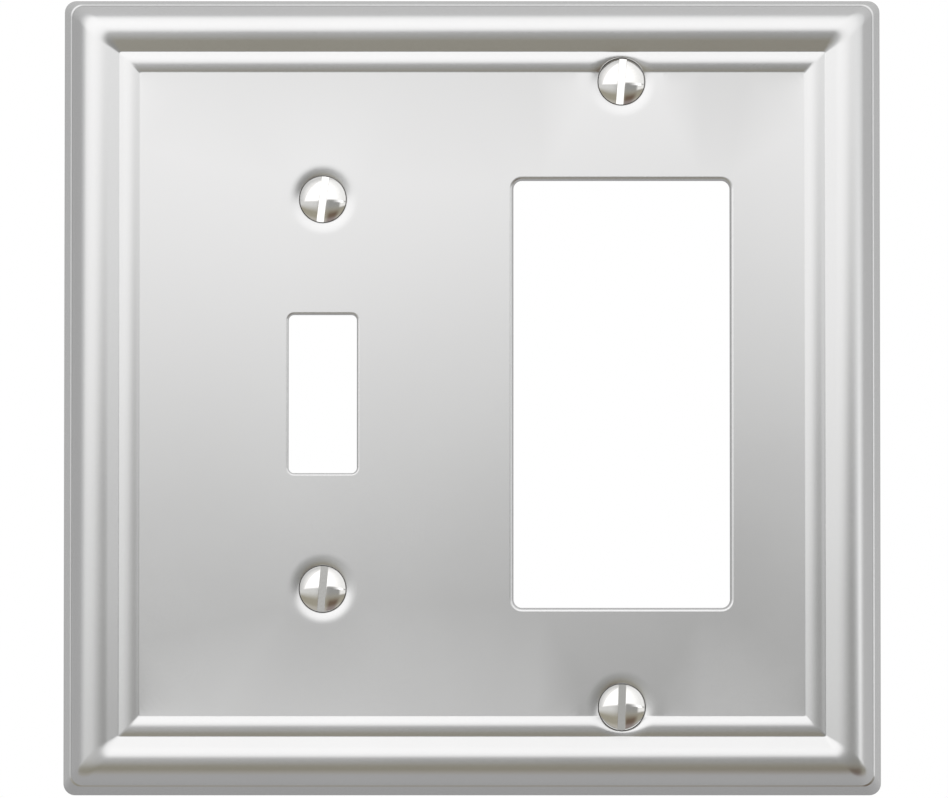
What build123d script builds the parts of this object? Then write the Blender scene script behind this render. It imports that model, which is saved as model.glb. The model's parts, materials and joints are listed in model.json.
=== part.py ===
from build123d import *
import os
from math import cos, radians, sin, tan

# Two-gang wall plate, one toggle gang and one rocker gang, with its four device screws.
# Frame: X to the right, Z up, the front faces -Y. The rim's back edge lies on the wall
# plane Y = 0, and the origin is at the middle of the plate on that plane.
# An inset is measured inwards from the rim, and a height forwards from the wall.

# Plate
PLATE_WIDTH = 126.0
PLATE_HEIGHT = 123.2
SHEET = 0.9
CORNER_OUTER = 1.8
CORNER_INNER = 0.15

# Moulded border, from the rim to the flat panel
SKIRT_ANGLE = 74.2
CREST_INSET, CREST_HEIGHT = 5.07, 7.1
FALL_RADIUS, FALL_ANGLE = 5.2, 21.5
CREASE_INSET = 8.6
BEAD_INSET, BEAD_HEIGHT = 10.04, 6.34
PANEL_INSET, PANEL_HEIGHT = 11.7, 6.02
LOFT_STEPS = 4
LEAST_STEP = 0.001
ROOT_DEPTH = 1.0

# Device spacings
GANG_SPACING = 46.038
TOGGLE_SCREW_SPACING = 60.325
ROCKER_SCREW_SPACING = 96.838

# Openings
TOGGLE_OPENING_WIDTH, TOGGLE_OPENING_HEIGHT, TOGGLE_OPENING_CORNER = 10.5, 24.5, 0.85
ROCKER_OPENING_WIDTH, ROCKER_OPENING_HEIGHT, ROCKER_OPENING_CORNER = 33.3, 66.1, 1.3
TOGGLE_EDGE_RADIUS, ROCKER_EDGE_RADIUS = 0.42, 0.65

# Screw: oval head, slotted, 6-32 thread
HEAD_RADIUS = 3.55
HEAD_HALF_ANGLE = 41
HEAD_RIM = 0.08
DOME_HEIGHT = 1.14
SLOT_WIDTH = 1.1
SLOT_DEPTH = 1.2
THREAD_RADIUS = 1.7526
NECK_RADIUS = 1.54
SCREW_LENGTH = 12.7
THREAD_START = 3.6
TIP_CHAMFER = 0.35

# Countersunk dimple in the sheet
HOLE_RADIUS = 1.98
SEAT_MOUTH_RADIUS = 4.0
SEAT_GAP = 0.08
DIMPLE_TOP = 5.77
CUTTER_TOP = 7.5

SCREWS = {
    "toggle_screw_upper": (-GANG_SPACING / 2, TOGGLE_SCREW_SPACING / 2, 7.0),
    "toggle_screw_lower": (-GANG_SPACING / 2, -TOGGLE_SCREW_SPACING / 2, 5.0),
    "rocker_screw_upper": (GANG_SPACING / 2, ROCKER_SCREW_SPACING / 2, 4.5),
    "rocker_screw_lower": (GANG_SPACING / 2, -ROCKER_SCREW_SPACING / 2, 1.5),
}

# The seat's cone, as heights where it meets the hole and where its back face does
SLOPE = tan(radians(HEAD_HALF_ANGLE))
SEAT_FLOOR = PANEL_HEIGHT - (SEAT_MOUTH_RADIUS - HOLE_RADIUS) / SLOPE
SEAT_BACK = SEAT_FLOOR - SHEET / sin(radians(HEAD_HALF_ANGLE))

# The head's widest edge stands off the seat by the gap between the two cones
HEAD_EDGE = SEAT_FLOOR + (HEAD_RADIUS - HOLE_RADIUS) / SLOPE + SEAT_GAP / sin(radians(HEAD_HALF_ANGLE))


def facing_front(height, x=0.0, z=0.0):
    """The plane at this height above the wall, looking out of the front face."""
    return Plane(origin=(x, -height, z), x_dir=(1, 0, 0), z_dir=(0, -1, 0))


# The skirt leans in from the rim and runs into the roundover without a break
SKIRT_RUN = 1 / tan(radians(SKIRT_ANGLE))
ROUNDOVER_RADIUS = (CREST_INSET - CREST_HEIGHT * SKIRT_RUN) / (
    sin(radians(SKIRT_ANGLE)) - (1 - cos(radians(SKIRT_ANGLE))) * SKIRT_RUN
)
SKIRT_HEIGHT = CREST_HEIGHT - ROUNDOVER_RADIUS * (1 - cos(radians(SKIRT_ANGLE)))
SKIRT_INSET = SKIRT_HEIGHT * SKIRT_RUN

# Behind the crest the moulding rounds over again and falls straight to the crease
FALL_INSET = CREST_INSET + FALL_RADIUS * sin(radians(FALL_ANGLE))
FALL_HEIGHT = CREST_HEIGHT - FALL_RADIUS * (1 - cos(radians(FALL_ANGLE)))
CREASE_HEIGHT = FALL_HEIGHT - (CREASE_INSET - FALL_INSET) * tan(radians(FALL_ANGLE))

# The moulding's cross-section, drawn once with inset along X and height along Y
with BuildLine() as skirt:
    Line((0, 0), (SKIRT_INSET, SKIRT_HEIGHT))
with BuildLine() as roundover:
    TangentArc((CREST_INSET, CREST_HEIGHT), (SKIRT_INSET, SKIRT_HEIGHT), tangent=(-1, 0))
with BuildLine() as fall:
    TangentArc((CREST_INSET, CREST_HEIGHT), (FALL_INSET, FALL_HEIGHT), tangent=(1, 0))
with BuildLine() as slope:
    Line((FALL_INSET, FALL_HEIGHT), (CREASE_INSET, CREASE_HEIGHT))
with BuildLine() as bead_outer:
    TangentArc((BEAD_INSET, BEAD_HEIGHT), (CREASE_INSET, CREASE_HEIGHT), tangent=(-1, 0))
with BuildLine() as bead_inner:
    TangentArc((BEAD_INSET, BEAD_HEIGHT), (PANEL_INSET, PANEL_HEIGHT), tangent=(1, 0))


def rings(stretch, setback):
    """Inset, height and corner radius along one stretch of the moulding, set back into the sheet."""
    edge = stretch.edges()[0]
    found = []
    for step in range(LOFT_STEPS + 1):
        point = edge @ (step / LOFT_STEPS)
        along = edge % (step / LOFT_STEPS)
        outward = Vector(-along.Y, along.X)
        if outward.Y < 0:
            outward = -outward
        inset = point.X - setback * outward.X
        height = point.Y - setback * outward.Y
        corner = CORNER_OUTER * (1 - point.X / CREASE_INSET) - setback * abs(outward.X)
        found.append((inset, height, max(corner, CORNER_INNER)))
    return found


def ring_sketch(inset, height, corner):
    """The rounded rectangle that the skin passes through at one height."""
    with BuildSketch(facing_front(height)) as outline:
        RectangleRounded(PLATE_WIDTH - 2 * inset, PLATE_HEIGHT - 2 * inset, corner)
    return outline.sketch


def swelling(levels):
    """A solid through the levels, highest first, carried straight back behind the lowest."""
    with BuildPart() as body:
        for level in levels[::-1]:
            add(ring_sketch(*level))
        loft()
        extrude(ring_sketch(*levels[-1]), amount=-ROOT_DEPTH)
    return body.part


def hollow(levels, floor):
    """A solid through the levels, highest first, carried forwards, and straight back to the floor."""
    step = levels[-1][1] - floor
    with BuildPart() as body:
        for level in levels[::-1]:
            add(ring_sketch(*level))
        loft()
        extrude(ring_sketch(*levels[0]), amount=ROOT_DEPTH)
        if step > LEAST_STEP:
            extrude(ring_sketch(*levels[-1]), amount=-step)
    return body.part


def stamped_form(setback):
    """Everything behind the moulded skin, with that skin set back into the sheet."""
    skirt_levels = rings(skirt, setback)
    main_bead = swelling(rings(roundover, setback))
    crease_recess = hollow(rings(slope, setback), CREASE_HEIGHT)
    crest_recess = hollow(rings(fall, setback), FALL_HEIGHT)
    second_bead = swelling(rings(bead_outer, setback))
    panel_recess = hollow(rings(bead_inner, setback), PANEL_HEIGHT - setback)
    with BuildPart() as form:
        add(ring_sketch(*skirt_levels[0]))
        add(ring_sketch(*skirt_levels[-1]))
        loft(ruled=True)
        add(main_bead)
        add(crease_recess, mode=Mode.SUBTRACT)
        add(crest_recess, mode=Mode.SUBTRACT)
        add(second_bead)
        add(panel_recess, mode=Mode.SUBTRACT)
    return form.part


# The stamped sheet: the moulded form less the same form set back by the sheet's thickness
outer_form = stamped_form(0)
inner_form = stamped_form(SHEET)

with BuildPart() as wall_plate:
    add(outer_form)
    add(inner_form, mode=Mode.SUBTRACT)

    # Each screw hole sits in a cone pressed back out of the sheet
    for x, z, _ in SCREWS.values():
        with BuildSketch(facing_front(SEAT_BACK, x, z)):
            Circle(HOLE_RADIUS)
        with BuildSketch(facing_front(DIMPLE_TOP, x, z)):
            Circle(HOLE_RADIUS + (DIMPLE_TOP - SEAT_BACK) * SLOPE)
        loft()
    for x, z, _ in SCREWS.values():
        with BuildSketch(facing_front(SEAT_FLOOR, x, z)):
            Circle(HOLE_RADIUS)
        with BuildSketch(facing_front(CUTTER_TOP, x, z)):
            Circle(HOLE_RADIUS + (CUTTER_TOP - SEAT_FLOOR) * SLOPE)
        loft(mode=Mode.SUBTRACT)
        with BuildSketch(facing_front(0, x, z)):
            Circle(HOLE_RADIUS)
        extrude(amount=PANEL_HEIGHT, mode=Mode.SUBTRACT)

    # The two gangs' openings, with the front edges eased
    with BuildSketch(facing_front(0, -GANG_SPACING / 2)):
        RectangleRounded(TOGGLE_OPENING_WIDTH, TOGGLE_OPENING_HEIGHT, TOGGLE_OPENING_CORNER)
    extrude(amount=CUTTER_TOP, mode=Mode.SUBTRACT)
    with BuildSketch(facing_front(0, GANG_SPACING / 2)):
        RectangleRounded(ROCKER_OPENING_WIDTH, ROCKER_OPENING_HEIGHT, ROCKER_OPENING_CORNER)
    extrude(amount=CUTTER_TOP, mode=Mode.SUBTRACT)
    for side, radius in ((-1, TOGGLE_EDGE_RADIUS), (1, ROCKER_EDGE_RADIUS)):
        flat_faces = wall_plate.faces().filter_by(Axis.Y).sort_by(SortBy.AREA)[-2:]
        opening_edges = [
            edge
            for wire in flat_faces.sort_by(Axis.Y)[0].inner_wires()
            if len(wire.edges()) > 1 and side * wire.bounding_box().center().X > 0
            for edge in wire.edges()
        ]
        fillet(opening_edges, radius)
wall_plate.part.label = "wall_plate"


def device_screw(label, x, z, slot_angle):
    """An oval-head screw on the axis through x and z, its slot turned clockwise from upright."""
    head_top = HEAD_EDGE + HEAD_RIM + DOME_HEIGHT
    neck_height = HEAD_EDGE - (HEAD_RADIUS - NECK_RADIUS) / SLOPE
    thread_height = HEAD_EDGE - THREAD_START
    tip_height = HEAD_EDGE - SCREW_LENGTH
    with BuildPart() as screw:
        with BuildSketch(Plane(origin=(x, 0, z), x_dir=(1, 0, 0), z_dir=(0, 0, 1))):
            with BuildLine():
                dome = TangentArc(
                    (0, -head_top), (HEAD_RADIUS, -HEAD_EDGE - HEAD_RIM), tangent=(1, 0)
                )
                Polyline(
                    dome @ 1,
                    (HEAD_RADIUS, -HEAD_EDGE),
                    (NECK_RADIUS, -neck_height),
                    (NECK_RADIUS, -thread_height),
                    (THREAD_RADIUS, -thread_height),
                    (THREAD_RADIUS, -tip_height - TIP_CHAMFER),
                    (THREAD_RADIUS - TIP_CHAMFER, -tip_height),
                    (0, -tip_height),
                    dome @ 0,
                )
            make_face()
        revolve(axis=Axis((x, 0, z), (0, 1, 0)))
        across = (cos(radians(slot_angle)), 0, -sin(radians(slot_angle)))
        with BuildSketch(Plane(origin=(x, -head_top, z), x_dir=across, z_dir=(0, 1, 0))):
            Rectangle(SLOT_WIDTH, 2 * HEAD_RADIUS + SLOT_WIDTH)
        extrude(amount=SLOT_DEPTH, mode=Mode.SUBTRACT)
    screw.part.label = label
    return screw.part


os.makedirs("parts", exist_ok=True)
export_step(wall_plate.part, "parts/wall_plate.step")
for label, placing in SCREWS.items():
    export_step(device_screw(label, *placing), f"parts/{label}.step")
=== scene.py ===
"""Two-gang combination wall plate with its four oval-head screws, seen from the front."""

import json
import math

import bmesh
import bpy
import numpy as np
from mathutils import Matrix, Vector
from mathutils.geometry import delaunay_2d_cdt


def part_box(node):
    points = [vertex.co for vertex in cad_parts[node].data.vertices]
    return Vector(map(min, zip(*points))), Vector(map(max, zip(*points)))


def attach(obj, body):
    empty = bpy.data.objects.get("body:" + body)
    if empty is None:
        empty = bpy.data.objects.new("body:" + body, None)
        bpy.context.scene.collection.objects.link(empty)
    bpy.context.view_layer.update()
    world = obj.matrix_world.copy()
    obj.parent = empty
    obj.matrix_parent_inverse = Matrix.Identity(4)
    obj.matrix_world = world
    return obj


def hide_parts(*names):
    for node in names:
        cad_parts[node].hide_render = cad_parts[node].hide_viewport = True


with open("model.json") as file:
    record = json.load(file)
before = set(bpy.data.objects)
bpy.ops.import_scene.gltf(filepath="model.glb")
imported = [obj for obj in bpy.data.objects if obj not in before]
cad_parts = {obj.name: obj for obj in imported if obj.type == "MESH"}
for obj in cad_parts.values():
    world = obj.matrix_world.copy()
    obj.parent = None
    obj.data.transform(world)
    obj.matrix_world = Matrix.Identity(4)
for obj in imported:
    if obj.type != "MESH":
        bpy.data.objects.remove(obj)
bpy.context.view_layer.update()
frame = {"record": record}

MM = 0.001

# The plate's outside and depth, from the frame
plate_low, plate_high = (np.array(corner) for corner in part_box("wall_plate"))
HALF_WIDTH = (plate_high[0] - plate_low[0]) / 2 / MM
HALF_HEIGHT = (plate_high[2] - plate_low[2]) / 2 / MM

# The sheet and its moulded border, in millimetres: insets run inwards from the rim, heights
# run forwards from the wall plane
SHEET = 0.9
CORNER_OUTER = 1.8
CORNER_BACK = 0.95
CORNER_INNER = 0.3
SKIRT_ANGLE = math.radians(77.0)
LEDGE_INSET, LEDGE_ANGLE = 1.0, math.radians(27)
ROUNDOVER_ANGLE = math.radians(74.2)
CREST_INSET, CREST_HEIGHT = 5.07, -plate_low[1] / MM
FALL_RADIUS, FALL_ANGLE = 5.2, math.radians(21.5)
CREASE_INSET = 8.6
BEAD_RISE_ANGLE, BEAD_TOP_ANGLE = math.radians(15), math.radians(5)
BEAD_INSET, BEAD_HEIGHT = 10.04, 6.34
PANEL_INSET, PANEL_HEIGHT = 11.7, 6.02

# Neighbouring stretches of the border run together where their heights differ by less than this
LEDGE_BLEND, CREASE_BLEND, RISE_BLEND, FOOT_BLEND = 0.14, 0.07, 0.05, 0.05

# The sheet's cut edge is eased over this height, and over this share of its width on each side
RIM_ROUND, RIM_EASE = 0.15, 0.16

# Openings, as width, height and corner radius, with the roll-over of their front and back edges
TOGGLE_OPENING = (10.5, 24.5, 0.85)
ROCKER_OPENING = (33.3, 66.1, 1.3)
OPENING_ROUNDS = {TOGGLE_OPENING: 0.42, ROCKER_OPENING: 0.65}
OPENING_BACK_ROUND = 0.12

# Screw seats: a cone under each head, its mouth steeper than its foot, in a soft shallow dish
# that gets no deeper past the limit, a share of the way from its edge to its foot
SEAT_ANGLE = math.radians(41)
HOLE_RADIUS = 1.98
SEAT_MOUTH_RADIUS = 4.0
DISH_RADIUS, DISH_FOOT, DISH_DEPTH = 5.75, 3.6, 0.3
DISH_SHARE_LIMIT = 1.2
MOUTH_STEEPENING = 2.0
LIP_BLEND, BACK_LIP_BLEND = 0.22, 0.8

# Screws: the head clears its seat by the gap, and the slot's floor is a step in front of the
# head's widest edge, where the normals lean so that it shades as rounded
HEAD_RADIUS = 3.55
HEAD_RIM = 0.08
DOME_HEIGHT = 1.14
SLOT_WIDTH = 1.1
SLOT_EDGE = 0.08
SLOT_STEP = 0.02
RIM_LEAN = math.radians(50)
SEAT_GAP = 0.08
NECK_RADIUS = 1.54
THREAD_RADIUS = 1.7526
THREAD_DEPTH = 0.47
THREAD_PITCH = 0.794
THREAD_START = 3.6
THREAD_CREST_END, THREAD_ROOT_START, THREAD_ROOT_END = 1 / 8, 1 / 2, 5 / 8  # shares of a pitch
TIP_CHAMFER = 0.35
SLOT_ANGLES = {
    "toggle_screw_upper": 7.0,
    "toggle_screw_lower": 5.0,
    "rocker_screw_upper": 4.5,
    "rocker_screw_lower": 1.5,
}

SEAT_SLOPE = 1 / math.tan(SEAT_ANGLE)
SEAT_FLOOR = PANEL_HEIGHT - (SEAT_MOUTH_RADIUS - HOLE_RADIUS) * SEAT_SLOPE
SEAT_BACK = SEAT_FLOOR - SHEET / math.sin(SEAT_ANGLE)
HEAD_EDGE = (
    SEAT_FLOOR + (HEAD_RADIUS - HOLE_RADIUS) * SEAT_SLOPE + SEAT_GAP / math.sin(SEAT_ANGLE)
)

# Screw axes, as x and z in millimetres, from the joints that turn them
SCREW_AXES = {
    joint["child"]: (joint["pos_m"][0] / MM, joint["pos_m"][2] / MM)
    for joint in frame["record"]["behaviour"]["joints"]
}
TOGGLE_X = SCREW_AXES["toggle_screw_upper"][0]
ROCKER_X = SCREW_AXES["rocker_screw_upper"][0]


# --- Mesh building -------------------------------------------------------------------------

WELD_STEPS_PER_MM = 1e5


class Shell:
    """Faces welded by position, each corner with a normal of its own."""

    def __init__(self):
        self.points = []
        self.places = {}
        self.faces = []
        self.normals = []

    def vertex(self, point):
        key = tuple(round(value * WELD_STEPS_PER_MM) for value in point)
        if key not in self.places:
            self.places[key] = len(self.points)
            self.points.append(tuple(value * MM for value in point))
        return self.places[key]

    def face(self, corners):
        """corners is a list of (point, normal), in order round the face."""
        kept = []
        for point, normal in corners:
            index = self.vertex(point)
            if all(index != other for other, _ in kept):
                kept.append((index, normal))
        if len(kept) > 2:
            self.faces.append([index for index, _ in kept])
            self.normals.extend(tuple(normal) for _, normal in kept)

    def strip(self, near, far, closed=True):
        """Quads between two rows of (point, normal)."""
        count = len(near)
        for i in range(count if closed else count - 1):
            j = (i + 1) % count
            self.face([near[i], near[j], far[j], far[i]])

    def build(self, name, material):
        """An object in the scene, from millimetres into metres, with these faces and normals."""
        mesh = bpy.data.meshes.new(name)
        mesh.from_pydata(self.points, [], self.faces)
        mesh.update()
        mesh.shade_smooth()
        mesh.normals_split_custom_set(self.normals)
        mesh.materials.append(material)
        piece = bpy.data.objects.new(name, mesh)
        bpy.context.scene.collection.objects.link(piece)
        return piece


def smooth_max(a, b, width):
    """The larger of two heights, rounded where they differ by less than width."""
    return np.maximum(a, b) + width * np.maximum(0, 1 - np.abs(a - b) / width) ** 2 / 4


def smooth_min(a, b, width):
    return -smooth_max(-a, -b, width)


# --- The plate's surfaces as heights over the wall plane -----------------------------------

SKIRT_RUN = 1 / math.tan(SKIRT_ANGLE)
ROUNDOVER_RUN = 1 / math.tan(ROUNDOVER_ANGLE)
ROUNDOVER_RADIUS = (CREST_INSET - CREST_HEIGHT * ROUNDOVER_RUN) / (
    math.sin(ROUNDOVER_ANGLE) - (1 - math.cos(ROUNDOVER_ANGLE)) * ROUNDOVER_RUN
)
ROUNDOVER_INSET = CREST_INSET - ROUNDOVER_RADIUS * math.sin(ROUNDOVER_ANGLE)

# How far the ledge's blend reaches past the roundover's foot, and the crease's out from the crease
LEDGE_REACH, CREASE_REACH = 0.25, 0.5

# Behind the crest the skin rounds over, then falls straight to the crease
FALL_INSET = CREST_INSET + FALL_RADIUS * math.sin(FALL_ANGLE)
FALL_HEIGHT = CREST_HEIGHT - FALL_RADIUS * (1 - math.cos(FALL_ANGLE))
CREASE_HEIGHT = FALL_HEIGHT - (CREASE_INSET - FALL_INSET) * math.tan(FALL_ANGLE)

# The second bead's top leans a little outwards, and its inner side is an arc down to the panel
BEAD_RUN, BEAD_DROP = PANEL_INSET - BEAD_INSET, BEAD_HEIGHT - PANEL_HEIGHT
BEAD_RADIUS = (BEAD_RUN**2 + BEAD_DROP**2) / (2 * BEAD_DROP)
BEAD_TOP_INSET = BEAD_INSET - BEAD_RADIUS * math.sin(BEAD_TOP_ANGLE)
BEAD_TOP_HEIGHT = BEAD_HEIGHT - BEAD_RADIUS * (1 - math.cos(BEAD_TOP_ANGLE))

# A circle is followed to this share of its radius, then goes on at this slope
CIRCLE_SHARE, PAST_CIRCLE_SLOPE = 0.97, 8.0

# The back profile's step, its softening to each side in steps, and its run past the panel's foot
BACK_STEP, BACK_SOFTENING, BACK_RUN_ON = 0.01, 15, 4

# The back profile rises all the way to this inset
BACK_RISE_END = 4.0

# The search for a point's inset starts outside the rim, and halves its range this many times
SEARCH_START, SEARCH_HALVINGS = -1.0, 44

# Slopes of a skin are taken over this distance to each side
NORMAL_STEP = 0.002


def circle_height(offset, radius):
    """How far a circle has fallen away from its top at this offset, steep past its side."""
    inside = np.clip(np.abs(offset), 0, CIRCLE_SHARE * radius)
    past = np.abs(offset) - inside
    return radius - np.sqrt(radius**2 - inside**2) + PAST_CIRCLE_SLOPE * past


def front_profile(inset):
    """Height of the front skin across the moulding."""
    skirt = inset / SKIRT_RUN
    ledge = LEDGE_INSET / SKIRT_RUN + (inset - LEDGE_INSET) * math.tan(LEDGE_ANGLE)
    roundover = np.where(
        inset < ROUNDOVER_INSET,
        inset / ROUNDOVER_RUN,
        CREST_HEIGHT - circle_height(inset - CREST_INSET, ROUNDOVER_RADIUS),
    )
    edge = smooth_max(smooth_min(skirt, ledge, LEDGE_BLEND), roundover, LEDGE_BLEND)
    outer = np.where(inset < ROUNDOVER_INSET + LEDGE_REACH, edge, roundover)
    fall = np.where(
        inset < FALL_INSET,
        CREST_HEIGHT - circle_height(inset - CREST_INSET, FALL_RADIUS),
        FALL_HEIGHT - (inset - FALL_INSET) * math.tan(FALL_ANGLE),
    )
    main_bead = np.where(inset < CREST_INSET, outer, fall)

    rise = CREASE_HEIGHT + (inset - CREASE_INSET) * math.tan(BEAD_RISE_ANGLE)
    top = BEAD_TOP_HEIGHT + (inset - BEAD_TOP_INSET) * math.tan(BEAD_TOP_ANGLE)
    arc = BEAD_HEIGHT - circle_height(inset - BEAD_INSET, BEAD_RADIUS)
    second_bead = smooth_min(rise, np.where(inset < BEAD_TOP_INSET, top, arc), RISE_BLEND)
    outside = np.where(
        inset < CREASE_INSET - CREASE_REACH,
        main_bead,
        smooth_max(main_bead, second_bead, CREASE_BLEND),
    )
    return np.where(inset < BEAD_INSET, outside, smooth_max(arc, PANEL_HEIGHT, FOOT_BLEND))


def back_profile_curve():
    """Insets and heights of the back skin: the front skin set back by the sheet's thickness."""
    insets = np.arange(0, PANEL_INSET + BACK_RUN_ON, BACK_STEP)
    heights = front_profile(insets)
    reach = np.arange(-SHEET, SHEET + BACK_STEP / 2, BACK_STEP)
    drop = np.sqrt(np.maximum(SHEET**2 - reach**2, 0))
    back = np.full(insets.shape, np.inf)
    for shift, depth in zip(reach, drop):
        back = np.minimum(back, np.interp(insets + shift, insets, heights) - depth)
    soften = np.hanning(2 * BACK_SOFTENING + 1)
    padded = np.pad(back, BACK_SOFTENING, mode="reflect", reflect_type="odd")
    return insets, np.convolve(padded, soften / soften.sum(), mode="valid")


BACK_INSETS, BACK_HEIGHTS = back_profile_curve()


def back_profile(inset):
    return np.interp(inset, BACK_INSETS, BACK_HEIGHTS)


def ring_corner(inset, corner):
    """Corner radius of a ring: full from the rim to the crest, tight from the crease inwards."""
    return np.interp(inset, [CREST_INSET, CREASE_INSET], [corner, CORNER_INNER])


def inset_of(x, z, corner):
    """Inset of the moulding's ring that passes through each point."""
    from_side = HALF_WIDTH - np.abs(x)
    from_end = HALF_HEIGHT - np.abs(z)
    low = np.full(np.shape(x), SEARCH_START)
    high = np.minimum(from_side, from_end)
    for _ in range(SEARCH_HALVINGS):
        middle = (low + high) / 2
        radius = ring_corner(middle, corner)
        past_side = np.maximum(middle + radius - from_side, 0)
        past_end = np.maximum(middle + radius - from_end, 0)
        outside = np.hypot(past_side, past_end) > radius
        high = np.where(outside, middle, high)
        low = np.where(outside, low, middle)
    return high


def dished(height, x, z, floor, depth, blend):
    """The skin drawn down softly round each screw, then pressed into a cone under its head."""
    for screw_x, screw_z in SCREW_AXES.values():
        radius = np.hypot(x - screw_x, z - screw_z)
        share = (DISH_RADIUS - radius) / (DISH_RADIUS - DISH_FOOT)
        within = np.clip(share, 0, DISH_SHARE_LIMIT)
        cone = floor + (radius - HOLE_RADIUS) * SEAT_SLOPE
        cone += np.maximum(radius - DISH_FOOT, 0) * MOUTH_STEEPENING
        height = smooth_min(height - depth * within**3, cone, blend)
    return height


def front_height(x, z):
    skin = front_profile(inset_of(x, z, CORNER_OUTER))
    return dished(skin, x, z, SEAT_FLOOR, DISH_DEPTH, LIP_BLEND)


def back_height(x, z):
    skin = back_profile(inset_of(x, z, CORNER_BACK))
    return dished(skin, x, z, SEAT_BACK, 0.0, BACK_LIP_BLEND)


def skin_normals(height_of, x, z, facing):
    """Unit normals of a height surface, out of the front for facing -1 and the back for +1."""
    step = NORMAL_STEP
    slope_x = (height_of(x + step, z) - height_of(x - step, z)) / (2 * step)
    slope_z = (height_of(x, z + step) - height_of(x, z - step)) / (2 * step)
    normals = np.stack([slope_x, np.ones_like(slope_x), slope_z], axis=1) * facing
    return normals / np.linalg.norm(normals, axis=1, keepdims=True)


# --- Outlines, as x and z in millimetres ---------------------------------------------------

CORNER_STEPS = 8
RING_SIDE_STEPS, OPENING_SIDE_STEPS = 72, 10


def rounded_outline(width, height, corner, side_steps):
    """Points round a rounded rectangle about the origin, anticlockwise from the right side."""
    points = []
    for quarter, (sx, sz) in enumerate([(1, 1), (-1, 1), (-1, -1), (1, -1)]):
        centre = np.array([sx * (width / 2 - corner), sz * (height / 2 - corner)])
        for step in range(CORNER_STEPS + 1):
            angle = math.pi / 2 * (quarter + step / CORNER_STEPS)
            points.append(centre + corner * np.array([math.cos(angle), math.sin(angle)]))
        run = height if quarter % 2 else width
        turned = [(-1, 0), (0, -1), (1, 0), (0, 1)][quarter]
        length = run - 2 * corner
        start = points[-1]
        for step in range(1, side_steps):
            points.append(start + np.array(turned) * length * step / side_steps)
    return np.array(points)


def ring(inset, corner):
    """The moulding's outline at an inset from the rim."""
    radius = float(ring_corner(inset, corner))
    width, height = 2 * (HALF_WIDTH - inset), 2 * (HALF_HEIGHT - inset)
    return rounded_outline(width, height, radius, RING_SIDE_STEPS)


def opening_outline(opening, grow=0.0):
    """An opening's outline, grown by some millimetres on every side."""
    width, height, corner = opening
    centre = np.array([TOGGLE_X if opening is TOGGLE_OPENING else ROCKER_X, 0.0])
    width, height, corner = width + 2 * grow, height + 2 * grow, corner + grow
    return centre + rounded_outline(width, height, corner, OPENING_SIDE_STEPS)


def circle(centre, radius, steps):
    angles = np.arange(steps) * 2 * math.pi / steps
    return np.array(centre) + radius * np.stack([np.cos(angles), np.sin(angles)], axis=1)


def inside_outline(points, outline):
    """Which points lie inside a closed outline, by counting crossings."""
    inside = np.zeros(len(points), bool)
    for (x1, z1), (x2, z2) in zip(outline, np.roll(outline, -1, axis=0)):
        if z1 == z2:
            continue
        crosses = (points[:, 1] > z1) != (points[:, 1] > z2)
        at = x1 + (points[:, 1] - z1) * (x2 - x1) / (z2 - z1)
        inside ^= crosses & (points[:, 0] < at)
    return inside


# --- The plate -----------------------------------------------------------------------------

# Circles of vertices round each screw, wide apart under its head and close together in the dish;
# the moulding's rings keep clear of them
SEAT_STEPS = 96
SEAT_CLEAR = 3.3
SEAT_CIRCLE_STEP, DISH_CIRCLE_STEP, LAST_CIRCLE = 0.3, 0.1, 6.4
MERGE_DISTANCE = 1e-5

# The front skin's rings of vertices, stretch by stretch: its ends, a little clear of its
# neighbours', and its number of rings. The roundover's rings are spaced by the lean of the skin.
SKIRT_RINGS_END, SKIRT_RINGS = LEDGE_INSET - 0.06, 4
ROUNDOVER_RINGS_LEAN, ROUNDOVER_RINGS = ROUNDOVER_ANGLE - 0.1, 20
LEDGE_RINGS = (LEDGE_INSET - 0.03, ROUNDOVER_INSET + LEDGE_REACH, 14)
FALL_RINGS = (CREST_INSET + 0.2, CREASE_INSET - 0.15, 18)
CREASE_RINGS = (CREASE_INSET - 0.1, CREASE_INSET + 0.1, 7)
BEAD_RINGS = (CREASE_INSET + 0.16, PANEL_INSET - 0.2, 22)
FOOT_RINGS = (PANEL_INSET - 0.1, PANEL_INSET + 0.1, 5)

# The back skin's rings: evenly spaced to just past the panel's foot, then one more
BACK_RING_STEP, BACK_RINGS_END, BACK_LAST_RING = 0.2, PANEL_INSET + 0.3, PANEL_INSET + 0.6

# Steps round the eased edges of the openings and of the rim
FRONT_EDGE_STEPS, BACK_EDGE_STEPS, RIM_STEPS = 8, 4, 4


def front_insets(first):
    """Where the front skin's rings of vertices lie: close together where it turns quickly."""
    skirt = np.linspace(first, SKIRT_RINGS_END, SKIRT_RINGS)
    leaning = np.linspace(ROUNDOVER_RINGS_LEAN, 0, ROUNDOVER_RINGS)
    roundover = CREST_INSET - ROUNDOVER_RADIUS * np.sin(leaning)
    stretches = (LEDGE_RINGS, FALL_RINGS, CREASE_RINGS, BEAD_RINGS, FOOT_RINGS)
    even = [np.linspace(*stretch) for stretch in stretches]
    inner = np.concatenate([skirt[1:], roundover, *even])
    return np.append(first, np.unique(np.round(inner, 3)))


def back_insets(first):
    return np.append(np.arange(first, BACK_RINGS_END, BACK_RING_STEP), BACK_LAST_RING)


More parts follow.
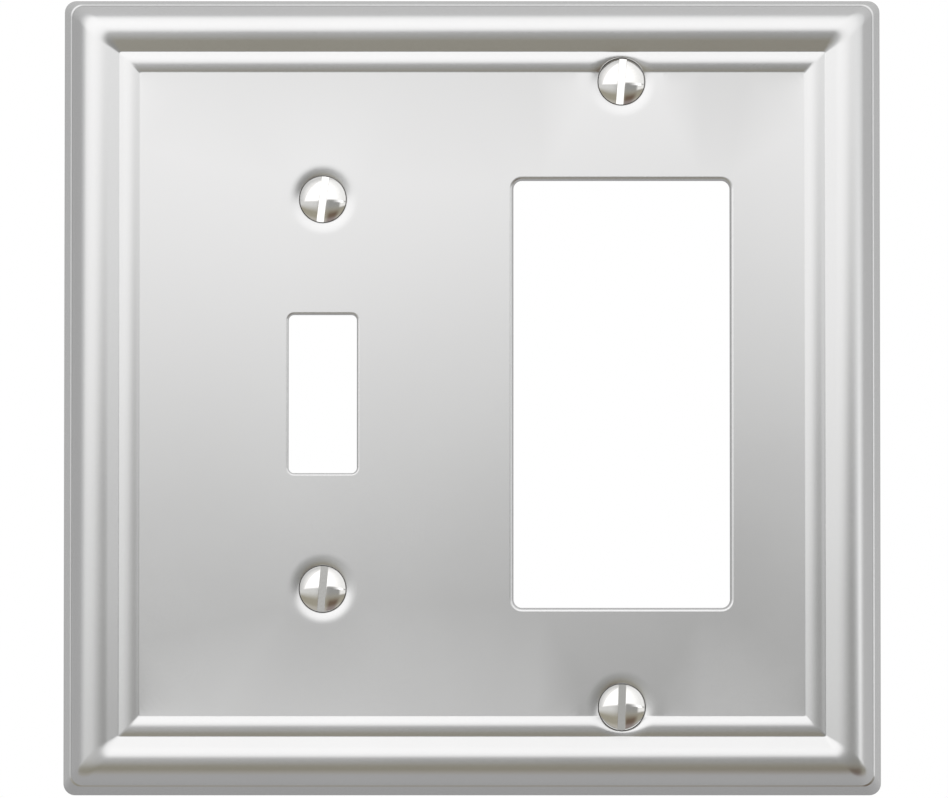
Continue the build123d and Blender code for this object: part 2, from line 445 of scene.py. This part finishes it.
def add_skin(shell, height_of, insets, corner, openings, facing):
    """One skin of the sheet, triangulated between its rings, screw seats and openings."""
    points, edges = [], []

    def add_loop(loop, near=()):
        """Add a closed loop, leaving out its points that are close to any place in near."""
        numbers = {}
        for i, point in enumerate(loop):
            if all(math.dist(point, place) > SEAT_CLEAR for place in near):
                numbers[i] = len(points)
                points.append(point)
        for i in numbers:
            j = (i + 1) % len(loop)
            if j in numbers:
                edges.append((numbers[i], numbers[j]))

    axes = list(SCREW_AXES.values())
    for inset in insets:
        add_loop(ring(inset, corner), axes)
    seat_radii = np.arange(HOLE_RADIUS, SEAT_CLEAR, SEAT_CIRCLE_STEP)
    dish_radii = np.arange(SEAT_CLEAR, LAST_CIRCLE, DISH_CIRCLE_STEP)
    for axis in axes:
        for radius in np.append(seat_radii, dish_radii):
            add_loop(circle(axis, radius, SEAT_STEPS))
    for outline in openings:
        add_loop(outline)

    places = [Vector(point) for point in points]
    made = delaunay_2d_cdt(places, edges, [], 0, MERGE_DISTANCE)
    made_places, _, made_faces, place_sources = made[:4]
    flat = np.array([tuple(place) for place in made_places])
    for i, sources in enumerate(place_sources):
        if sources:
            flat[i] = points[sources[0]]
    triangles = np.array(made_faces)
    centres = flat[triangles].mean(axis=1)
    keep = inside_outline(centres, ring(insets[0], corner))
    for outline in openings:
        keep &= ~inside_outline(centres, outline)
    for axis in axes:
        keep &= ~inside_outline(centres, circle(axis, HOLE_RADIUS, SEAT_STEPS))
    heights = height_of(flat[:, 0], flat[:, 1])
    normals = skin_normals(height_of, flat[:, 0], flat[:, 1], facing)
    for triangle in triangles[keep]:
        corners = [((flat[i][0], -heights[i], flat[i][1]), normals[i]) for i in triangle]
        shell.face(corners if facing < 0 else corners[::-1])


def row(outline, heights, normals):
    """An outline's corners, at these heights over the wall plane."""
    return [((x, -h, z), n) for (x, z), h, n in zip(outline, heights, normals)]


def outward_of(outline):
    """Unit normals of a closed anticlockwise outline, in the x-z plane."""
    along = np.roll(outline, -1, axis=0) - np.roll(outline, 1, axis=0)
    across = np.stack([along[:, 1], -along[:, 0]], axis=1)
    return across / np.linalg.norm(across, axis=1, keepdims=True)


def leaning_normals(outward, angle):
    """Normals turned from the front (0) to the outline's outward side (90 degrees) and beyond."""
    return np.stack(
        [
            outward[:, 0] * math.sin(angle),
            np.full(len(outward), -math.cos(angle)),
            outward[:, 1] * math.sin(angle),
        ],
        axis=1,
    )


def add_opening_wall(shell, opening):
    """The cut wall of an opening, rolled over at the front and eased at the back."""
    outward = -outward_of(opening_outline(opening))
    back = PANEL_HEIGHT - SHEET
    edge_round = OPENING_ROUNDS[opening]
    rows = []
    for step in range(FRONT_EDGE_STEPS + 1):
        angle = math.pi / 2 * step / FRONT_EDGE_STEPS
        grow = edge_round * (1 - math.sin(angle))
        height = PANEL_HEIGHT - edge_round * (1 - math.cos(angle))
        outline = opening_outline(opening, grow)
        rows.append(row(outline, [height] * len(outline), leaning_normals(outward, angle)))
    for step in range(BACK_EDGE_STEPS + 1):
        angle = math.pi / 2 * (1 + step / BACK_EDGE_STEPS)
        grow = OPENING_BACK_ROUND * (1 - math.sin(angle))
        height = back + OPENING_BACK_ROUND * (1 + math.cos(angle))
        outline = opening_outline(opening, grow)
        rows.append(row(outline, [height] * len(outline), leaning_normals(outward, angle)))
    for near, far in zip(rows, rows[1:]):
        shell.strip(near, far)


def add_hole_wall(shell, axis):
    """The cut wall of a screw's hole."""
    outline = circle(axis, HOLE_RADIUS, SEAT_STEPS)
    inward = leaning_normals(-outward_of(outline), math.pi / 2)
    front = front_height(outline[:, 0], outline[:, 1])
    back = back_height(outline[:, 0], outline[:, 1])
    shell.strip(row(outline, front, inward), row(outline, back, inward))


def add_rim(shell, front_inset, back_inset):
    """The sheet's cut edge on the wall plane, eased on both sides."""
    outer = ring(front_inset, CORNER_OUTER)
    inner = ring(back_inset, CORNER_BACK)
    outward = outward_of(outer)
    rows = []
    for edge, other, side in ((outer, inner, outward), (inner, outer, -outward)):
        start = SKIRT_ANGLE if edge is outer else math.pi - SKIRT_ANGLE
        eased = []
        for step in range(RIM_STEPS + 1):
            lean = start + (math.pi - start) * step / RIM_STEPS
            done = 1 - math.sin(lean) / math.sin(start)
            fallen = (math.cos(start) - math.cos(lean)) / (math.cos(start) + 1)
            heights = np.full(len(edge), RIM_ROUND) * (1 - fallen)
            outline = edge + (other - edge) * RIM_EASE * done
            eased.append(row(outline, heights, leaning_normals(side, lean)))
        rows.extend(eased if edge is outer else eased[::-1])
    for near, far in zip(rows, rows[1:]):
        shell.strip(far, near)


def make_plate(material):
    """The plate: two skins, the walls of its openings and holes, and its rim."""
    shell = Shell()
    front_inset = RIM_ROUND * SKIRT_RUN
    rising = BACK_INSETS < BACK_RISE_END
    back_inset = float(np.interp(RIM_ROUND, BACK_HEIGHTS[rising], BACK_INSETS[rising]))
    openings = (TOGGLE_OPENING, ROCKER_OPENING)
    front_outlines = [opening_outline(opening, OPENING_ROUNDS[opening]) for opening in openings]
    back_outlines = [opening_outline(opening, OPENING_BACK_ROUND) for opening in openings]
    insets = front_insets(front_inset)
    add_skin(shell, front_height, insets, CORNER_OUTER, front_outlines, -1)
    add_skin(shell, back_height, back_insets(back_inset), CORNER_BACK, back_outlines, 1)
    for opening in openings:
        add_opening_wall(shell, opening)
    for axis in SCREW_AXES.values():
        add_hole_wall(shell, axis)
    add_rim(shell, front_inset, back_inset)
    return shell.build("wall_plate_sheet", material)


# --- The screws ----------------------------------------------------------------------------

HEAD_ROUND = (HEAD_RADIUS**2 + DOME_HEIGHT**2) / (2 * DOME_HEIGHT)
DOME_CENTRE = HEAD_EDGE + HEAD_RIM + DOME_HEIGHT - HEAD_ROUND
SLOT_FLOOR = HEAD_EDGE + SLOT_STEP
NECK_HEIGHT = HEAD_EDGE - (HEAD_RADIUS - NECK_RADIUS) * SEAT_SLOPE
THREAD_TOP = HEAD_EDGE - THREAD_START
SCREW_TIP = -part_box("toggle_screw_upper")[1][1] / MM
HEAD_STEPS, SLOT_EDGE_STEPS, THREAD_PHASES = 24, 5, 8
THREAD_SLOPE_STEP = THREAD_PITCH / 100


def head_stations():
    """Rows of local corners along the slot, from the slot's middle out to the head's edge.

    Local corners are ((across, height, along), normal), the slot running along.
    """

    def station(across, make):
        half = math.sqrt(max(HEAD_RADIUS**2 - across**2, 0))
        corners = []
        for step in range(2 * HEAD_STEPS + 1):
            along = -half * math.cos(math.pi * step / (2 * HEAD_STEPS))
            height, normal = make(along)
            corners.append(((across, height, along), normal))
        return corners

    def on_dome(across, lean):
        """On the dome for a lean of 0, on the slot's wall for 90 degrees, and eased between."""
        shoulder = max(across, SLOT_WIDTH / 2 + SLOT_EDGE)

        def corner(along):
            rise = math.sqrt(HEAD_ROUND**2 - shoulder**2 - along**2)
            dome = np.array([shoulder, -rise, along]) / HEAD_ROUND
            normal = dome * math.cos(lean) + np.array([-1, 0, 0]) * math.sin(lean)
            height = DOME_CENTRE + rise - SLOT_EDGE * (1 - math.cos(lean))
            return height, normal / np.linalg.norm(normal)

        return corner

    wall = SLOT_WIDTH / 2
    stations = [
        station(0, lambda along: (SLOT_FLOOR, (0, -1, 0))),
        station(wall, lambda along: (SLOT_FLOOR, (0, -1, 0))),
        station(wall, lambda along: (SLOT_FLOOR, (-1, 0, 0))),
    ]
    for step in range(SLOT_EDGE_STEPS):
        lean = math.pi / 2 * (1 - step / SLOT_EDGE_STEPS)
        across = wall + SLOT_EDGE * (1 - math.sin(lean))
        stations.append(station(across, on_dome(across, lean)))
    first = math.acos((wall + SLOT_EDGE) / HEAD_RADIUS)
    for step in range(HEAD_STEPS + 1):
        across = HEAD_RADIUS * math.cos(first * (1 - step / HEAD_STEPS))
        stations.append(station(across, on_dome(across, 0)))
    return stations


def screw_radius(angle, height):
    """Radius of the shank: the thread fades in below the neck and ends in a chamfer."""
    turns = np.mod((THREAD_TOP - height) / THREAD_PITCH + angle / (2 * math.pi), 1.0)
    places = [0, THREAD_CREST_END, THREAD_ROOT_START, THREAD_ROOT_END, 1]
    tooth = np.interp(turns, places, [1, 1, 0, 0, 1])
    threaded = THREAD_RADIUS - THREAD_DEPTH * (1 - tooth)
    fade = np.clip((THREAD_TOP - height) / THREAD_PITCH, 0, 1)
    radius = NECK_RADIUS + (threaded - NECK_RADIUS) * fade * fade * (3 - 2 * fade)
    return np.minimum(radius, THREAD_RADIUS - TIP_CHAMFER + height - SCREW_TIP)


def make_screw(name, material):
    """One oval-head screw: slotted dome, countersunk underside, neck and rolled thread."""
    shell = Shell()
    centre_x, centre_z = SCREW_AXES[name]
    outline = []

    # The head's two halves, on either side of its slot
    for half_turn in (0, math.pi):
        turn = math.radians(SLOT_ANGLES[name]) + half_turn
        sin, cos = math.sin(turn), math.cos(turn)

        def placed(corner):
            (across, height, along), (n_across, n_y, n_along) = corner
            x, z = across * cos + along * sin, along * cos - across * sin
            normal = (n_across * cos + n_along * sin, n_y, n_along * cos - n_across * sin)
            return (centre_x + x, -height, centre_z + z), normal

        rows = [[placed(corner) for corner in station] for station in head_stations()]
        for near, far in zip(rows, rows[1:]):
            shell.strip(far, near, closed=False)
        outline += [corners[0][0] for corners in rows]
        outline += [corners[-1][0] for corners in rows[::-1]]

    angles = [math.atan2(z - centre_z, x - centre_x) for x, _, z in outline]

    def at(angle, radius, height, lean):
        """A corner at an angle round the axis, its normal leaning from the front."""
        cos, sin = math.cos(angle), math.sin(angle)
        place = (centre_x + radius * cos, -height, centre_z + radius * sin)
        return place, (cos * math.sin(lean), -math.cos(lean), sin * math.sin(lean))

    # From the dome's edge round the rim, under the head and down the neck
    under = math.pi / 2 + SEAT_ANGLE
    rows = [[(p, at(a, 0, 0, RIM_LEAN)[1]) for p, a in zip(outline, angles)]]
    for radius, height, lean in (
        (HEAD_RADIUS, HEAD_EDGE, math.pi - RIM_LEAN),
        (HEAD_RADIUS, HEAD_EDGE, under),
        (NECK_RADIUS, NECK_HEIGHT, under),
        (NECK_RADIUS, NECK_HEIGHT, math.pi / 2),
        (NECK_RADIUS, THREAD_TOP, math.pi / 2),
    ):
        rows.append([at(angle, radius, height, lean) for angle in angles])
    for near, far in zip(rows, rows[1:]):
        shell.strip(far, near)

    # The thread: each column's corners follow the helix, and are cut off at both its ends
    columns = sorted({round(angle % (2 * math.pi), 9) for angle in angles})
    columns.append(columns[0] + 2 * math.pi)
    count = math.ceil((THREAD_TOP - SCREW_TIP) / THREAD_PITCH + 1) * THREAD_PHASES + 1
    below = np.arange(count) * THREAD_PITCH / THREAD_PHASES
    step = THREAD_SLOPE_STEP
    previous = None
    for angle in columns:
        drop = THREAD_PITCH * angle / (2 * math.pi) - below
        heights = np.clip(THREAD_TOP + drop, SCREW_TIP, THREAD_TOP)
        radii = screw_radius(angle, heights)
        steeper = screw_radius(angle, np.minimum(heights + step, THREAD_TOP))
        gentler = screw_radius(angle, np.maximum(heights - step, SCREW_TIP))
        lean = math.pi / 2 + np.arctan2(steeper - gentler, 2 * step)
        column = [at(angle, r, h, n) for r, h, n in zip(radii, heights, lean)]
        if previous:
            shell.strip(previous, column, closed=False)
        previous = column

    end = [at(a, screw_radius(a, SCREW_TIP), SCREW_TIP, math.pi) for a in columns[:-1]]
    middle = at(0, 0, SCREW_TIP, math.pi)
    shell.strip([middle] * len(end), end)
    return shell.build(f"{name}_body", material)


# --- Materials -----------------------------------------------------------------------------

DRIFT_SCALE, DRIFT_DETAIL, GRAIN_DETAIL = 38.0, 4.0, 3.0
NOISE_LOW, NOISE_HIGH = 0.12, 0.4


def add_node(tree, kind, inputs, **settings):
    """A node with its settings and its input sockets filled or linked."""
    made = tree.nodes.new(kind)
    for name, value in settings.items():
        setattr(made, name, value)
    for name, value in inputs.items():
        if isinstance(value, bpy.types.NodeSocket):
            tree.links.new(value, made.inputs[name])
        else:
            made.inputs[name].default_value = value
    return made


def metal(name, dark, light, smooth, rough, grain, grain_depth):
    """Plated metal: a slow drift of tone and polish, and a fine grain in its surface."""
    material = bpy.data.materials.new(name)
    material.use_nodes = True
    tree = material.node_tree
    shader = tree.nodes["Principled BSDF"]
    shader.inputs["Metallic"].default_value = 1.0
    place = add_node(tree, "ShaderNodeTexCoord", {}).outputs["Object"]
    drift = add_node(
        tree,
        "ShaderNodeTexNoise",
        {"Vector": place, "Scale": DRIFT_SCALE, "Detail": DRIFT_DETAIL},
    ).outputs["Fac"]
    fine = add_node(
        tree, "ShaderNodeTexNoise", {"Vector": place, "Scale": grain, "Detail": GRAIN_DETAIL}
    ).outputs["Fac"]
    mixed = add_node(
        tree, "ShaderNodeMath", {0: drift, 1: fine}, operation="MULTIPLY"
    ).outputs[0]
    noise = {"Value": mixed, "From Min": NOISE_LOW, "From Max": NOISE_HIGH}
    tone = add_node(tree, "ShaderNodeMapRange", noise).outputs["Result"]
    colour = add_node(tree, "ShaderNodeValToRGB", {"Fac": tone})
    colour.color_ramp.elements[0].color = (*dark, 1)
    colour.color_ramp.elements[1].color = (*light, 1)
    tree.links.new(colour.outputs["Color"], shader.inputs["Base Color"])
    polish = add_node(
        tree, "ShaderNodeMapRange", {**noise, "To Min": smooth, "To Max": rough}
    ).outputs["Result"]
    tree.links.new(polish, shader.inputs["Roughness"])
    bump = add_node(
        tree, "ShaderNodeBump", {"Strength": 1.0, "Distance": grain_depth, "Height": fine}
    ).outputs["Normal"]
    tree.links.new(bump, shader.inputs["Normal"])
    return material


# --- The object ----------------------------------------------------------------------------

satin = metal(
    "satin_nickel",
    dark=(0.608, 0.607, 0.606),
    light=(0.632, 0.632, 0.631),
    smooth=0.235,
    rough=0.262,
    grain=5200.0,
    grain_depth=4e-7,
)
polished = metal(
    "polished_nickel",
    dark=(0.77, 0.76, 0.74),
    light=(0.81, 0.80, 0.785),
    smooth=0.05,
    rough=0.09,
    grain=3000.0,
    grain_depth=3e-7,
)

plate = make_plate(satin)
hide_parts("wall_plate")
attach(plate, "plate")

for screw_name in SCREW_AXES:
    screw = make_screw(screw_name, polished)
    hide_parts(screw_name)
    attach(screw, screw_name)

# --- Studio --------------------------------------------------------------------------------

FLOOR_DROP, FLOOR_SIZE, FLOOR_SEGMENTS = 1.15, 8.0, 8
FLOOR_COLOUR, FLOOR_ROUGHNESS = (0.9, 0.9, 0.9, 1), 0.9

# The room's radiance, with what is added straight above and straight to the right, and what is
# lost low down behind the plate: the steps run along the direction looked in
ROOM_RADIANCE, ABOVE_GAIN, RIGHT_GAIN = 0.558, 0.234, 0.122
UNDER_BACK_LOSS = 0.09
UNDER_STEP, BEHIND_STEP = (0.0, -0.45), (0.3, 0.9)

CARD_DISTANCE = 0.45
CARD_LOW, CARD_HIGH = (-1.2, -0.9), (1.2, 1.2)
CARD_CUTS = 11

# The card's upper part is a softbox, glowing most near its middle. Its lower edge rises a little
# towards the right, and its upper left corner is dimmer, past a sloping line.
SOFTBOX_RADIANCE, SOFTBOX_BLUR = (1.05, 1.056, 1.06), 0.055
GLOW_RADIANCE = (0.54, 0.527, 0.527)
GLOW_PLACE, GLOW_RADIUS = (-0.16, 0.0, 0.288), 1.0
EDGE_RISE, EDGE_RISE_STEP = 0.034, (-0.12, 0.15)
CUT_LOSS = (-0.35, -0.35, -0.35)
CUT_SLOPE, CUT_START, CUT_BLUR = 0.688, -0.709, 0.03

# Just below the softbox the card is light grey on the left and dark on the right. Lower down it
# is evenly dim and brownish, and a little lighter near its foot.
LEFT_RADIANCE, RIGHT_RADIANCE = (0.78, 0.785, 0.782), (0.359, 0.361, 0.354)
RIGHT_STEP = (-0.26, 0.18)
LOW_RADIANCE, LOW_STEP = (0.4, 0.378, 0.31), (-0.04, -0.31)
FOOT_GAIN, FOOT_STEP = (0.13, 0.13, 0.15), (-0.45, -0.7)

# Three places differ from that: a dark brown patch right of centre, a bright strip right under
# the softbox's risen edge, and a lighter patch at the far right. Each is a product of steps
# along the card's axes.
BROWN_LOSS = (-0.22, -0.245, -0.21)
BROWN_STEPS = (("Z", -0.15, -0.4), ("X", 0.02, 0.2), ("X", 0.7, 0.36))
STRIP_RADIANCE = (1.51, 1.508, 1.543)
STRIP_STEPS = (("X", 0.18, 0.64), ("X", 1.0, 0.62), ("Z", -0.005, 0.005))
PATCH_RADIANCE = (0.65, 0.65, 0.65)
PATCH_STEPS = (("X", 0.45, 0.6), ("Z", -0.2, -0.12), ("Z", 0.03, 0.0))


def step_between(tree, value, start, end, low=0.0, high=1.0):
    """A smooth step from low at start to high at end."""
    limits = {"Value": value, "From Min": start, "From Max": end, "To Min": low, "To Max": high}
    return add_node(
        tree, "ShaderNodeMapRange", limits, interpolation_type="SMOOTHSTEP"
    ).outputs["Result"]


def steps_both_ways(tree, value, start, end):
    """A smooth step down from 1 to 0, and the same step up."""
    return step_between(tree, value, end, start), step_between(tree, value, start, end)


def times(tree, *factors):
    product = factors[0]
    for factor in factors[1:]:
        product = add_node(
            tree, "ShaderNodeMath", {0: product, 1: factor}, operation="MULTIPLY"
        ).outputs[0]
    return product


def region(tree, split, steps):
    """The product of smooth steps, each along one axis of a place's split coordinates."""
    made = [step_between(tree, split.outputs[axis], start, end) for axis, start, end in steps]
    return times(tree, *made)


def plus(tree, first, second):
    return add_node(
        tree, "ShaderNodeMath", {0: first, 1: second}, operation="ADD"
    ).outputs[0]


def tinted(tree, tint, amount):
    """A colour scaled by a node's output."""
    node = add_node(tree, "ShaderNodeVectorMath", {0: tint}, operation="SCALE")
    tree.links.new(amount, node.inputs["Scale"])
    return node.outputs[0]


def summed(tree, *colours):
    """Colours added together."""
    total = colours[0]
    for colour in colours[1:]:
        total = add_node(
            tree, "ShaderNodeVectorMath", {0: total, 1: colour}, operation="ADD"
        ).outputs[0]
    return total


def card_material():
    """The light card's glow, by place on the card."""
    material = bpy.data.materials.new("light_card")
    material.use_nodes = True
    tree = material.node_tree
    tree.nodes.clear()
    place = add_node(tree, "ShaderNodeTexCoord", {}).outputs["Object"]
    split = add_node(tree, "ShaderNodeSeparateXYZ", {"Vector": place})
    x, z = split.outputs["X"], split.outputs["Z"]
    over_edge = plus(tree, z, step_between(tree, x, *EDGE_RISE_STEP, 0.0, -EDGE_RISE))
    lower, upper = steps_both_ways(tree, over_edge, 0.0, SOFTBOX_BLUR)
    left, right = steps_both_ways(tree, x, *RIGHT_STEP)
    near, low = steps_both_ways(tree, z, *LOW_STEP)
    foot = step_between(tree, z, *FOOT_STEP)
    from_glow = add_node(
        tree, "ShaderNodeVectorMath", {0: place, 1: GLOW_PLACE}, operation="DISTANCE"
    ).outputs["Value"]
    glow = step_between(tree, from_glow, GLOW_RADIUS, 0.0)
    past_cut = plus(tree, x, times(tree, z, -CUT_SLOPE))
    cut = step_between(tree, past_cut, CUT_START + CUT_BLUR, CUT_START - CUT_BLUR)
    brown = region(tree, split, BROWN_STEPS)
    strip = region(tree, split, STRIP_STEPS)
    patch = region(tree, split, PATCH_STEPS)
    radiance = summed(
        tree,
        tinted(tree, SOFTBOX_RADIANCE, upper),
        tinted(tree, GLOW_RADIANCE, times(tree, upper, glow)),
        tinted(tree, CUT_LOSS, times(tree, upper, cut)),
        tinted(tree, LEFT_RADIANCE, times(tree, lower, near, left)),
        tinted(tree, RIGHT_RADIANCE, times(tree, lower, near, right)),
        tinted(tree, LOW_RADIANCE, low),
        tinted(tree, FOOT_GAIN, foot),
        tinted(tree, BROWN_LOSS, times(tree, lower, brown)),
        tinted(tree, STRIP_RADIANCE, times(tree, lower, right, strip)),
        tinted(tree, PATCH_RADIANCE, times(tree, lower, patch)),
    )
    emission = add_node(tree, "ShaderNodeEmission", {"Color": radiance, "Strength": 1.0})
    output = add_node(tree, "ShaderNodeOutputMaterial", {})
    tree.links.new(emission.outputs["Emission"], output.inputs["Surface"])
    material.cycles.emission_sampling = "NONE"
    return material


def make_light_card():
    """An upright glowing card in front of the plate, which the camera doesn't see."""
    mesh = bpy.data.meshes.new("light_card")
    form = bmesh.new()
    low, high = CARD_LOW, CARD_HIGH
    corners = [(low[0], low[1]), (high[0], low[1]), (high[0], high[1]), (low[0], high[1])]
    form.faces.new([form.verts.new((x, 0.0, z)) for x, z in corners])
    bmesh.ops.subdivide_edges(form, edges=form.edges[:], cuts=CARD_CUTS, use_grid_fill=True)
    form.to_mesh(mesh)
    form.free()
    mesh.materials.append(card_material())
    card = bpy.data.objects.new("light_card", mesh)
    card.location.y = -CARD_DISTANCE
    card.visible_camera = False
    bpy.context.scene.collection.objects.link(card)


def build_world():
    """A pale room, brighter above and to the right and dimmer low down behind the plate.

    The camera sees it as white paper.
    """
    world = bpy.data.worlds.new("studio")
    bpy.context.scene.world = world
    world.use_nodes = True
    tree = world.node_tree
    tree.nodes.clear()
    direction = add_node(tree, "ShaderNodeTexCoord", {}).outputs["Generated"]
    split = add_node(tree, "ShaderNodeSeparateXYZ", {"Vector": direction})
    room_range = {"To Min": ROOM_RADIANCE, "To Max": ROOM_RADIANCE + ABOVE_GAIN}
    above = add_node(
        tree, "ShaderNodeMapRange", {"Value": split.outputs["Z"], **room_range}
    ).outputs["Result"]
    right_range = {"To Min": 0.0, "To Max": RIGHT_GAIN}
    right = add_node(
        tree, "ShaderNodeMapRange", {"Value": split.outputs["X"], **right_range}
    ).outputs["Result"]
    under_back = region(tree, split, (("Z", *UNDER_STEP), ("Y", *BEHIND_STEP)))
    level = plus(tree, plus(tree, above, right), times(tree, under_back, -UNDER_BACK_LOSS))
    room = add_node(tree, "ShaderNodeBackground", {"Color": (1, 1, 1, 1), "Strength": level})
    paper = add_node(tree, "ShaderNodeBackground", {"Color": (1, 1, 1, 1), "Strength": 1.0})
    seen = add_node(tree, "ShaderNodeLightPath", {}).outputs["Is Camera Ray"]
    both = add_node(tree, "ShaderNodeMixShader", {"Fac": seen})
    tree.links.new(room.outputs["Background"], both.inputs[1])
    tree.links.new(paper.outputs["Background"], both.inputs[2])
    output = add_node(tree, "ShaderNodeOutputWorld", {})
    tree.links.new(both.outputs["Shader"], output.inputs["Surface"])


def make_floor():
    """A pale sheet of card far below the plate, left out of reflections."""
    mesh = bpy.data.meshes.new("studio_floor")
    form = bmesh.new()
    bmesh.ops.create_grid(
        form, x_segments=FLOOR_SEGMENTS, y_segments=FLOOR_SEGMENTS, size=FLOOR_SIZE
    )
    form.to_mesh(mesh)
    form.free()
    material = bpy.data.materials.new("floor_card")
    material.use_nodes = True
    shader = material.node_tree.nodes["Principled BSDF"]
    shader.inputs["Base Color"].default_value = FLOOR_COLOUR
    shader.inputs["Roughness"].default_value = FLOOR_ROUGHNESS
    mesh.materials.append(material)
    floor = bpy.data.objects.new("studio_floor", mesh)
    floor.location.z = -FLOOR_DROP
    floor.visible_glossy = False
    bpy.context.scene.collection.objects.link(floor)


make_light_card()
build_world()
make_floor()

# --- Camera --------------------------------------------------------------------------------

# The camera looks slightly up at the plate from far away
CAMERA_DISTANCE, CAMERA_REACH = 3.2, 100.0
CAMERA_BELOW = math.radians(5.6)
SENSOR_WIDTH = 36.0
FRAME_WIDTH = 0.1463
AIM = Vector((0.00028, 0.0, -0.00022))

camera_data = bpy.data.cameras.new("camera")
camera_data.sensor_width = SENSOR_WIDTH
camera_data.lens = SENSOR_WIDTH * CAMERA_DISTANCE / FRAME_WIDTH
camera_data.clip_end = CAMERA_REACH
camera = bpy.data.objects.new("camera", camera_data)
backward = Vector((0, -math.cos(CAMERA_BELOW), -math.sin(CAMERA_BELOW)))
camera.location = AIM + backward * CAMERA_DISTANCE
camera.rotation_euler = (-backward).to_track_quat("-Z", "Y").to_euler()
bpy.context.scene.collection.objects.link(camera)
bpy.context.scene.camera = camera
bpy.context.scene.view_settings.view_transform = "Standard"
